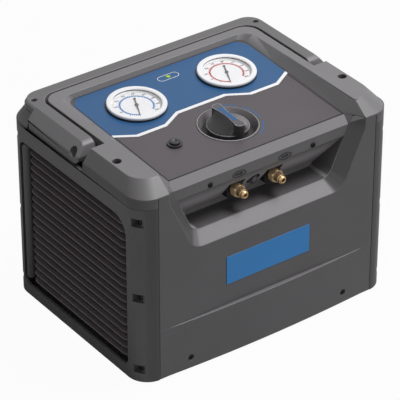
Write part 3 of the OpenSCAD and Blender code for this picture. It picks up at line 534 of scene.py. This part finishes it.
class RECOVERY_OT_deck(Operator):
    """Finishes the control panel with its label, well, buttons, lamp and gauges, and the badge"""
    bl_idname = "recovery.deck"
    bl_label = "Control deck"

    def execute(self, context):
        look = context.scene.recovery_finish
        # Fine-grained ABS: a dull, slightly warm grey.
        dress(["control_panel"], grained("moulded_abs_deck", look.deck, 0.45, 0.6, 0.2))
        # The same ABS in the well, with painted light and shade: its floor and left wall are darkened, its
        # far wall lightened.
        bowl = linear("#7a7678")
        well = turned(grained("moulded_abs_well", bowl, 0.45, 0.6, 0.2), bowl,
                      ((0, 0, 1), 0.93, 0.98, 0.18),
                      ((-0.75, -0.6, 0.28), 0.4, 0.85, 2.8),
                      ((0.95, 0, 0.3), 0.7, 0.95, 0.65))
        dress(["knob_well"], well)
        # Printed polycarbonate film: even, satin colours with crisp edges.
        dress(["panel_label"], blue_film(look.blue))
        dress(["badge_plate"], grained("polycarbonate_film_badge", look.badge, 0.38, 0.5, 0.06, 0.03))
        dress(["label_stripe"], grained("screen_print_white", look.white, 0.4, 0.5, 0.05, 0.01))
        # Polished ABS: black with a clear highlight; the reset button is a duller grey.
        black = grained("polished_abs_black", look.black, 0.3, 0.5, 0.05)
        dress(["button_collar", "power_button", "breaker_body", "power_inlet", "low_case", "high_case"],
              black)
        dress(["reset_button"], grained("moulded_abs_reset", linear("#7d7b7f"), 0.4, 0.6, 0.1))
        # Tinted acrylic: a glossy green spot.
        dress(["status_lamp"], grained("acrylic_lamp", linear("#a6cf2f"), 0.2, 0.5, 0.03))
        # Enamel: a clean, smooth white.
        dress(["low_dial", "high_dial", "low_bezel", "high_bezel"],
              grained("enamel_white", look.white, 0.35, 0.5, 0.03, 0.01))
        # Blued steel: thin dark needles.
        dress(["low_pointer", "high_pointer"], grained("blued_steel", linear("#3a3a3c"), 0.4, 0.3, 0.03))
        # Clear acrylic: nearly unseen, with a faint grain in its gloss.
        lens = grained("clear_acrylic", (1, 1, 1), 0.07, 0.5, 0.01, 0.0, spec=0.5)
        principled(lens).inputs["Alpha"].default_value = 0.08
        dress(["low_lens", "high_lens"], lens)
        return {"FINISHED"}


class RECOVERY_OT_knob(Operator):
    """Draws the selector's disc, its waisted grip and the inlay"""
    bl_idname = "recovery.knob"
    bl_label = "Selector knob"

    # Half the length of the grip's flanks, the length of its round tips and its height, in mm.
    straight, tip, high = 21.0, 5.0, 12.4

    def execute(self, context):
        look = context.scene.recovery_finish
        # Polished black ABS with painted light and shade: the left flank darkened, the right one lightened, a
        # painted grey sheen on the crest and painted highlights on the edges.
        knob = grained("polished_abs_knob", shade(look.black, 2.0), 0.3, 0.5, 0.05)
        turned(knob, look.black, ((-0.5, -0.1, 0.86), 0.75, 0.93, 0.6), ((0.5, 0, 0.86), 0.85, 0.95, 4.4))
        tint(knob, self.crest, (*linear("#59585c"), 1))
        tint(knob, self.edges, (*linear("#e6e4e6"), 1))
        place = on_deck(0, KNOB_Y)
        disc = [(0, -8.5), (23, -8.5), (23, -1.6), (24, -1.2), (24, -0.4), (23.2, 0), (0, 0)]
        ends = [self.straight + self.tip * math.sin(math.radians(a)) for a in range(15, 91, 15)]
        along = [-v for v in reversed(ends)] + [self.straight * (i / 20 - 1) for i in range(41)] + ends
        solid = Solid().lathe(disc, 96, place).loops([self.section(v) for v in along], place)
        keep("selector_grip", solid.mesh("grip"), knob, "selector", True, ("selector_knob",))
        strip = Solid().prism(box(-3.1, 3.1, -12.5, 17), self.high - 0.3, self.high + 0.12, place)
        keep("grip_inlay", strip.mesh("strip"), blue_film(look.blue), "selector", False,
             ("knob_inlay",))
        return {"FINISHED"}

    def section(self, v):
        """The grip across its length: a flat top, and two hollow flanks that run out on the disc."""
        waist, end, foot_r, foot_z, skirt_z = 3.4, 6.0, 21.8, 0.4, -6
        if abs(v) <= self.straight:
            top = waist + 2.6 * (v / self.straight) ** 2
            foot = max(end, math.sqrt(foot_r ** 2 - v * v))
        else:
            top = foot = end * math.sqrt(max(1e-4, 1 - ((abs(v) - self.straight) / self.tip) ** 2))
        flank = []
        for i in range(9):
            a = i / 8 * math.pi / 2
            out, drop = 0.05 * i + 0.6 * (1 - math.cos(a)), 0.05 * i + 0.6 * math.sin(a)
            flank.append((top + (foot - top) * out, self.high - (self.high - foot_z) * drop))
        flank.append((foot, skirt_z))
        return [(u, v, z) for u, z in flank] + [(-u, v, z) for u, z in reversed(flank)]

    def crest(self, tree):
        """The flat top of the grip."""
        high = span(tree, axes(tree)["Z"], 250 * MM, 251 * MM)
        return maths(tree, "MULTIPLY", high, towards(tree, (0, 0, 1), 0.9, 0.97))

    def edges(self, tree):
        """The rim of the knob's disc, which fades towards the grip's ends, and the top edges of the grip."""
        x, y, z = axes(tree)
        reach = maths(tree, "SQRT", squares(tree, x, maths(tree, "ADD", y, -KNOB_Y * MM)))
        rim = maths(tree, "MULTIPLY", span(tree, reach, 22.2 * MM, 22.8 * MM),
                    span(tree, maths(tree, "ABSOLUTE", x), 6 * MM, 14 * MM))
        where = maths(tree, "MAXIMUM", span(tree, z, 250.5 * MM, 251.2 * MM), rim)
        soft = add(tree, "ShaderNodeBevel", {"Radius": 1.1 * MM}, samples=6).outputs["Normal"]
        true = add(tree, "ShaderNodeNewGeometry").outputs["Normal"]
        return maths(tree, "MULTIPLY", where, span(tree, dot(tree, soft, true), 0.99, 0.86))


class RECOVERY_OT_gauges(Operator):
    """Adds the rim, scale, marks and figures of both dials"""
    bl_idname = "recovery.gauges"
    bl_label = "Gauge dials"

    def execute(self, context):
        look = context.scene.recovery_finish
        marks = context.scene.recovery_sizes.ticks
        # Angles in degrees, and the height of the dial's face above the deck in mm.
        start, sweep, face = 246, 300, 0.9
        sunk = face - 0.02
        ring = ink("ink_pale_grey", linear("#b4b3b4"))
        brown = ink("ink_dark_brown", linear("#4a2f2c"))
        # Enamel: the white slope between the dial and its bezel.
        enamel = grained("enamel_white_rim", look.white, 0.35, 0.5, 0.03, 0.01)
        for side, s, scale, figures in (("low", -1, look.low, "0 50 100 150 200 250 300 350 400 450 500"),
                                        ("high", 1, look.high, "0 80 160 240 320 400 480 560 640 720 800")):
            place = on_deck(GAUGE_X * s, GAUGE_Y)
            colour_ink = ink("ink_scale_" + side, scale)
            arc = Solid().prism(arc_band(18.0, 19.9, start, start - sweep, 90), sunk, face + 0.05, place)
            keep(side + "_scale", arc.mesh(side), colour_ink, "housing", False)
            rim = Solid().lathe([(26.6, face), (28.25, 2.5), (28.25, sunk)], 96, place, True)
            keep(side + "_rim", rim.mesh(side), enamel, "housing", True)
            edge = Solid().ring(circle(26.6), circle(26.1), sunk, face + 0.04, place)
            keep(side + "_ring", edge.mesh(side), ring, "housing", False)
            mark = Solid().prism(box(-0.5, 0.5, -0.5, 0.5), -0.5, 0.5).mesh("mark")
            places = []
            for i in range(marks):
                angle = math.radians(start - sweep * i / (marks - 1))
                length, width = (2.2, 1.0) if i % 5 == 0 else (1.4, 0.6)
                centre = place @ Vector((*polar(19.6 + length / 2, angle), face))
                turn = (place.to_3x3() @ Matrix.Rotation(angle, 3, "Z")).to_euler()
                places.append((centre, turn, (length, width, 0.08)))
            repeat(side + "_marks", mark, places, colour_ink, "housing")
            text = numerals(figures.split(), 23.7, 3.0, sweep, start)
            text.verts = [place @ (v + Vector((0, 0, face + 0.02))) for v in text.verts]
            keep(side + "_figures", text.mesh(side), brown, "housing", False)
        return {"FINISHED"}


class RECOVERY_OT_prints(Operator):
    """Adds the lamp's outline, the well's lip, the panel's painted seam shadow, the knob's arcs and the flow
    signs
    """
    bl_idname = "recovery.prints"
    bl_label = "Prints and signs"

    def execute(self, context):
        look = context.scene.recovery_finish
        white = ink("screen_ink_white", look.white, 0.01)
        outline = Solid().ring(capsule(9, 5), capsule(9, 4.4), 0.38, 0.46, on_deck(2.4, 64.4))
        keep("lamp_outline", outline.mesh("outline"), white, "housing", False)
        # Satin ABS: a thin light line round the knob's well, a painted highlight on its edge.
        pale = grained("moulded_abs_pale", linear("#b5b3b4"), 0.4, 0.6, 0.1)
        lip_line = [(33.7, 0.75), (33.8, 1.0), (34.3, 1.0), (34.6, 0.75)]
        lip = Solid().lathe(lip_line, 96, on_deck(0, KNOB_Y), True)
        keep("well_lip", lip.mesh("lip"), pale, "housing", True)
        self.joint()
        blue = ink("screen_ink_blue", linear("#2d6299"))
        arcs = Solid()
        for first, last in ((-62, -22), (-14, 30), (38, 66)):
            arcs.prism(arc_band(38.2, 39.7, first, last, 24), -0.02, 0.05, on_deck(0, KNOB_Y))
        keep("knob_arcs", arcs.mesh("arcs"), blue, "housing", False)
        # Moulded ABS: raised signs, painted darker than the strip that carries them to stand for the shade
        # round their edges.
        shell = grained("moulded_abs_sign", linear("#3b393b"), 0.45, 0.7, 0.2)
        arrow = [(5, 0), (1.5, 2.2), (1.5, 0.9), (-5, 0.9), (-5, -0.9), (1.5, -0.9), (1.5, -2.2)]
        emblem = Solid()
        for s in (-1, 1):
            place = Matrix.Translation((31 * s, -113.6, 219.5)) @ Matrix.Rotation(math.pi / 2, 4, "X")
            emblem.ring(circle(9, 4, 64), circle(8.1, 3.2, 64), -0.2, 0.5, place)
            emblem.prism(arrow, -0.2, 0.5, place)
        keep("flow_signs", emblem.mesh("signs"), shell, "housing", True)
        return {"FINISHED"}

    def joint(self):
        """Painted shadow: a thin dark line round three sides of the panel, and a dark block in each of the
        deck's front corners.
        """
        # Painted shadow: a dull black line that stands for the shade in the panel's seams.
        seam_shadow = grained("painted_seam_shadow", linear("#141315"), 0.7, 0.5, 0.1)
        joint = Solid()
        for strip in ((-118.6, 118.6, -105.3, -103.7), (-118.9, -117.6, -103.8, -4),
                      (117.6, 118.9, -103.8, -4)):
            corners = [on_deck(x, y).translation for x, y in box(*strip)]
            joint.loops([[c + Vector((0, 0, h)) for c in corners] for h in (-0.05, 0.05)])
        for s in (-1, 1):
            joint.prism(box(s * 128.1, s * 131.5, -114.6, -108), 232.5, 238.4)
        keep("panel_joint", joint.mesh("joint"), seam_shadow, "housing", False)


class RECOVERY_OT_ports(Operator):
    """Turns the brass flare fittings with their threads, hexagons and cones, and adds their bosses"""
    bl_idname = "recovery.ports"
    bl_label = "Flare ports"

    # Where the thread begins and ends behind the nose, and how far it runs out at both ends, in mm.
    thread_from, thread_to, runout = 2.6, 9.6, 1.2
    half_flats = 7.1

    def execute(self, context):
        look = context.scene.recovery_finish
        pitch = context.scene.recovery_sizes.thread / MM
        # Turned brass: a bright warm metal whose fine grain softens the highlights.
        brass = grained("turned_brass_port", look.brass, 0.25, 0.35, 0.05, 0.05, metal=0.3)
        self.banded(brass, look.brass)
        length = self.thread_to - self.thread_from
        rows = [self.thread_from + length * i / 50 for i in range(51)]
        stem = [(0, 12), (2.4, 12), (2.4, 0.3), (2.7, 0), (3.3, 0), (3.6, 0.25), (4.8, 2.5)]
        stem += [(self.thread(z, pitch), z) for z in rows] + [(4.9, 10), (4.9, 12.5), (0, 12.5)]
        chamfers = ((7.2, 10.6), (7.8, 11.2), (8.2, 11.5), (8.2, 18), (7.8, 18.3), (7.2, 18.9))
        nut = [(0, 10.5), (6.8, 10.5)] + [(self.hexagon(r), z) for r, z in chamfers] + [(6.8, 19), (0, 19)]
        collar = [(0, 18.5), (6.5, 18.5), (6.5, 40.6), (0, 40.6)]
        sleeves = Solid()
        back = Matrix.Rotation(-math.pi / 2, 4, "X")
        for s, node in ((-1, "inlet_fitting"), (1, "outlet_fitting")):
            place = Matrix.Translation((PORT_X * s, -118.6, PORT_Z)) @ back
            solid = Solid().lathe(stem, 72, place).lathe(nut, 72, place).lathe(collar, 48, place)
            name = node.replace("fitting", "flare")
            keep(name, solid.mesh(node), brass, "housing", True, (node,))
            shift = Matrix.Translation((PORT_X * s, -98.7, POCKET_Z)) @ back
            sleeves.ring(rounded(11, 10.1, 3), circle(6.6, None, 36), 0, 20.6, shift)
        # Black ABS: the square bosses of the port block, which read as dark pockets round the hexagons; their
        # black also stands in for the shade inside the pockets.
        black = grained("moulded_abs_boss", linear("#161518"), 0.5, 0.6, 0.1)
        keep("port_bosses", sleeves.mesh("bosses"), black, "housing", True)
        return {"FINISHED"}

    def thread(self, z, pitch):
        """The thread's radius round the stem at one height."""
        ends = max(0.0, min(1.0, (z - self.thread_from) / self.runout, (self.thread_to - z) / self.runout))
        return lambda a: 5.556 - 0.75 * ends * abs(2 * ((z / pitch - a / (2 * math.pi)) % 1) - 1)

    def hexagon(self, limit):
        """The hexagon's radius round the stem, cut off at a limit that chamfers its corners."""
        sixth = math.pi / 3
        return lambda a: min(limit, self.half_flats / math.cos((a + sixth / 2) % sixth - sixth / 2))

    def banded(self, material, rgb):
        """Paints light on the hexagon, and paints shade on the thread and for a groove behind the nose, so
        that they read apart.
        """
        thread_y, hexagon_y, groove_y = (-114.0 * MM, -113.4 * MM), (-108.5 * MM, -108.0 * MM), -115.8 * MM

        def band(tree):
            y = axes(tree)["Y"]
            neck = maths(tree, "MULTIPLY", span(tree, y, *thread_y), span(tree, y, *reversed(hexagon_y)))
            return maths(tree, "MAXIMUM", neck, maths(tree, "COMPARE", y, groove_y, 0.4 * MM))

        # Painted light warms the hexagon; painted shade darkens the thread and the groove.
        tint(material, lambda tree: span(tree, axes(tree)["Y"], *hexagon_y), (0.97, 0.7, 0.4, 1))
        tint(material, band, shade(rgb, 0.2))


class RECOVERY_OT_screws(Operator):
    """Sets the cross-head screws of the housing and handle"""
    bl_idname = "recovery.screws"
    bl_label = "Screws"

    def execute(self, context):
        # Black-oxide steel: dark, with a dull metal glint round the recess.
        steel = grained("black_oxide_steel", linear("#2a2a2c"), 0.38, 0.4, 0.1, metal=0.7)
        half = math.pi / 2
        # Each screw has a place in mm, a turn in radians and a radius in mm.
        groups = {
            "cap_screws": [((x * 163, y * 115.2, z), (0, x * half, 0), 3.2)
                           for x in (-1, 1) for y in (-1, 1) for z in (19.5, 113, 209)],
            "top_screws": [((x * 153.5, -59, 247), (0, 0, 0.4), 4.0) for x in (-1, 1)],
            "front_screws": [((x * 107, -127, 17), (half, 0.5, 0), 3.2) for x in (-1, 1)],
            "port_screws": [((x * 70, -112.8, 219.5), (half, 0.3, 0), 3.1) for x in (-1, 1)],
            "handle_screws": [((x * 153.5, 101, 250), (0, 0, 0.2), 3.1) for x in (-1, 1)],
        }
        for node, heads in groups.items():
            body = "handle" if node == "handle_screws" else "housing"
            places = [(place, turn, (r, r, r)) for place, turn, r in heads]
            name = node.replace("screws", "crossheads")
            repeat(name, screw_head(), places, steel, body, (node,))
        return {"FINISHED"}


class RECOVERY_OT_grilles(Operator):
    """Stacks the louvres of both grilles and adds their ribs and posts"""
    bl_idname = "recovery.grilles"
    bl_label = "Grilles"

    def execute(self, context):
        look = context.scene.recovery_finish
        count = context.scene.recovery_sizes.blades
        blade_look = self.louvre_finish(look.grille)
        # Moulded ABS: plain grey posts at the rear end of the louvres.
        post_look = grained("moulded_abs_post", look.caps, 0.5, 0.7, 0.2)
        low, high, front, rear = 17, 207, -101.5, 94.6
        rib_out, rib_in, rib_half = 163.5, 157.5, 0.6
        post_x, post_y, post_r = 166.3, 100, 5
        pitch = (high - low) / (count + 1)
        for side, s in (("left", -1), ("right", 1)):
            blade = self.blade(s, front, rear)
            places = [((0, 0, low + pitch * (i + 1)), (0, 0, 0), (1, 1, 1)) for i in range(count)]
            repeat(side + "_louvres", blade, places, blade_look, "housing",
                   (side + "_grille",))
            ribs = Solid()
            for y in (-50, 0, 50):
                ribs.prism(box(s * rib_out, s * rib_in, y - rib_half, y + rib_half), low - 0.4, high + 0.4)
            keep(side + "_ribs", ribs.mesh(side), blade_look, "housing", False)
            dome = [polar(post_r, math.radians(a)) for a in range(0, 91, 10)]
            profile = [(r, low + 10 - z) for r, z in reversed(dome)] + [(r, high - 9.5 + z) for r, z in dome]
            post = Solid().lathe(profile, 48, Matrix.Translation((s * post_x, post_y, 0)))
            keep(side + "_post", post.mesh(side), post_look, "housing", True)
        return {"FINISHED"}

    def louvre_finish(self, rgb):
        """Moulded ABS with a painted highlight on the outer edge, so that each louvre reads as a thin light
        line above a dark gap."""
        def edge(tree):
            return span(tree, maths(tree, "ABSOLUTE", axes(tree)["X"]), 170.6 * MM, 171.1 * MM)

        return tint(grained("moulded_abs_louvre", rgb, 0.5, 0.6, 0.12), edge, shade(rgb, 1.1))

    def blade(self, s, front, rear):
        """One louvre: a thin level strip with a rounded outer edge that turns inward at both ends."""
        bend_x, bend_r, inset = 158.2, 13, 13.5
        path = []
        for cy, first in ((front + inset, -90), (rear - inset, 0)):
            path += [(polar(1, math.radians(first + 90 * i / 12)), cy) for i in range(13)]
        section = [(0, 0.0), (-0.25, 0.42), (-0.7, 0.6), (-9.4, 0.6),
                   (-9.4, -0.6), (-0.7, -0.6), (-0.25, -0.42)]
        rows = [[(s * (bend_x + (bend_r + d) * c), cy + (bend_r + d) * q, z) for d, z in section]
                for (c, q), cy in path]
        return Solid().loops(rows).mesh("louvre")


class RECOVERY_OT_inside(Operator):
    """Finishes the parts behind the grilles and panels, the handle's pins and the feet"""
    bl_idname = "recovery.inside"
    bl_label = "Inner parts"

    def execute(self, context):
        look = context.scene.recovery_finish
        # Metals: blackened steel reads dull and dark, turned steel and brass bright, cast aluminium
        # rough and pale, drawn copper warm and smooth.
        dress(["fan_motor", "compressor_motor"],
              grained("blackened_steel", linear("#1d1d1f"), 0.4, 0.4, 0.1, metal=0.6))
        dress(["handle_pins", "valve_stem"],
              grained("turned_steel", linear("#a9a9ad"), 0.3, 0.4, 0.1, metal=1.0))
        dress(["valve_body"], grained("turned_brass", look.brass, 0.25, 0.4, 0.06, metal=1.0))
        dress(["crankcase", "cylinder_barrel", "cylinder_head"],
              grained("cast_aluminium", linear("#9b9c9e"), 0.5, 0.9, 0.3, metal=0.9))
        dress(["condenser_bends", "refrigerant_tubes"],
              grained("drawn_copper", linear("#b06a43"), 0.3, 0.5, 0.08, metal=1.0))
        # Coated fins, black ABS and rubber: near-black, from satin to dull.
        dress(["condenser_core"], grained("coated_fins", linear("#0b0a0b"), 0.55, 0.6, 0.1))
        dress(["fan_rotor", "fan_shroud", "port_block"],
              grained("moulded_abs_black", linear("#242224"), 0.5, 0.6, 0.15))
        dress(["feet", "compressor_mounts"], grained("moulded_rubber", linear("#1b1b1b"), 0.7, 0.6, 0.2))
        # Solder mask: a dark, even green.
        dress(["control_board"], grained("solder_mask", linear("#1f5a33"), 0.4, 0.6, 0.1))
        return {"FINISHED"}


class RECOVERY_OT_stage(Operator):
    """Sets the floor, the lamps, the white surround and the camera"""
    bl_idname = "recovery.stage"
    bl_label = "Stage"

    def execute(self, context):
        scene = context.scene
        scene.view_settings.view_transform = "Standard"
        self.surround(scene)
        self.floor(scene)
        self.lamp(scene, "key", (0.85, -0.45, 2.2), 1.2, 44)
        self.lamp(scene, "left", (-2.2, -0.5, 0.9), 1.2, 2)
        self.camera(scene)
        return {"FINISHED"}

    def surround(self, scene):
        """A surround that is seen and mirrored as white but gives only a weak fill light."""
        world = bpy.data.worlds.new("surround")
        scene.world = world
        world.use_nodes = True
        tree = world.node_tree
        tree.nodes.clear()
        path = add(tree, "ShaderNodeLightPath").outputs
        seen = maths(tree, "MAXIMUM", path["Is Camera Ray"], path["Is Glossy Ray"])
        seen = maths(tree, "MAXIMUM", seen, path["Is Transmission Ray"])
        fill = add(tree, "ShaderNodeBackground", {"Color": (1, 1, 1, 1), "Strength": 0.14})
        white = add(tree, "ShaderNodeBackground", {"Color": (1, 1, 1, 1), "Strength": 1.0})
        mix = add(tree, "ShaderNodeMixShader", {0: seen, 1: fill.outputs[0], 2: white.outputs[0]})
        add(tree, "ShaderNodeOutputWorld", {"Surface": mix.outputs[0]})

    def floor(self, scene):
        """A wide sheet that the camera sees as almost pure white."""
        mesh = bpy.data.meshes.new("floor")
        mesh.from_pydata([(-6, -6, 0), (6, -6, 0), (6, 6, 0), (-6, 6, 0)], [], [(0, 1, 2, 3)])
        floor = bpy.data.objects.new("floor", mesh)
        scene.collection.objects.link(floor)
        # Studio paper: a white ground with only a trace of the shadow.
        paper = bpy.data.materials.new("studio_paper")
        paper.use_nodes = True
        tree = paper.node_tree
        tree.nodes.clear()
        path = add(tree, "ShaderNodeLightPath").outputs
        lit = add(tree, "ShaderNodeBsdfDiffuse", {"Color": (0.5, 0.5, 0.5, 1)})
        white = add(tree, "ShaderNodeEmission", {"Color": (1, 1, 1, 1), "Strength": 1.0})
        share = maths(tree, "MULTIPLY", path["Is Camera Ray"], 0.96)
        mix = add(tree, "ShaderNodeMixShader", {0: share, 1: lit.outputs[0], 2: white.outputs[0]})
        add(tree, "ShaderNodeOutputMaterial", {"Surface": mix.outputs[0]})
        mesh.materials.append(paper)

    def lamp(self, scene, name, place, size, power):
        """A round area lamp that points at the machine."""
        aim = Vector((0, 0, 0.12))
        light = bpy.data.lights.new(name, "AREA")
        light.shape = "DISK"
        light.size = size
        light.energy = power
        lamp = bpy.data.objects.new(name, light)
        lamp.location = place
        lamp.rotation_euler = (aim - Vector(place)).to_track_quat("-Z", "Y").to_euler()
        scene.collection.objects.link(lamp)

    def camera(self, scene):
        """A camera fitted to the photo; its offsets are shares of the housing's width."""
        turn, rise = math.radians(-36.25), math.radians(32.47)
        sensor, focal_px, photo_px = 36, 2622, 400
        width, feet = BODY_WIDTH * MM, 3 * MM
        right = Vector((math.cos(turn), math.sin(turn), 0))
        back = Vector((math.sin(turn) * math.cos(rise), -math.cos(turn) * math.cos(rise), math.sin(rise)))
        up = back.cross(right)
        place = right * -0.001 * width + up * 0.276 * width + back * 8.80 * width + Vector((0, 0, feet))
        view = bpy.data.cameras.new("photo_view")
        view.sensor_width = sensor
        view.lens = sensor * focal_px / photo_px
        view.clip_end = 50
        camera = bpy.data.objects.new("photo_view", view)
        camera.matrix_world = Matrix((right, up, back)).transposed().to_4x4()
        camera.location = place
        scene.collection.objects.link(camera)
        scene.camera = camera


STEPS = (RECOVERY_OT_housing, RECOVERY_OT_deck, RECOVERY_OT_knob, RECOVERY_OT_gauges, RECOVERY_OT_prints,
         RECOVERY_OT_ports, RECOVERY_OT_screws, RECOVERY_OT_grilles, RECOVERY_OT_inside, RECOVERY_OT_stage)


class RECOVERY_PT_steps(Panel):
    """Lists the steps that dress the machine"""
    bl_idname = "RECOVERY_PT_steps"
    bl_label = "Recovery machine"
    bl_space_type = "VIEW_3D"
    bl_region_type = "UI"
    bl_category = "Recovery"

    def draw(self, context):
        for step in STEPS:
            self.layout.operator(step.bl_idname)
        for group in (context.scene.recovery_finish, context.scene.recovery_sizes):
            for key in group.__annotations__:
                self.layout.prop(group, key)


CLASSES = (RecoveryFinish, RecoverySizes) + STEPS + (RECOVERY_PT_steps,)


def register():
    for item in CLASSES:
        bpy.utils.register_class(item)
    bpy.types.Scene.recovery_finish = PointerProperty(type=RecoveryFinish)
    bpy.types.Scene.recovery_sizes = PointerProperty(type=RecoverySizes)


def unregister():
    del bpy.types.Scene.recovery_sizes
    del bpy.types.Scene.recovery_finish
    for item in reversed(CLASSES):
        bpy.utils.unregister_class(item)


def main():
    register()
    for step in STEPS:
        group, action = step.bl_idname.split(".")
        getattr(getattr(bpy.ops, group), action)()


if __name__ == "__main__":
    main()
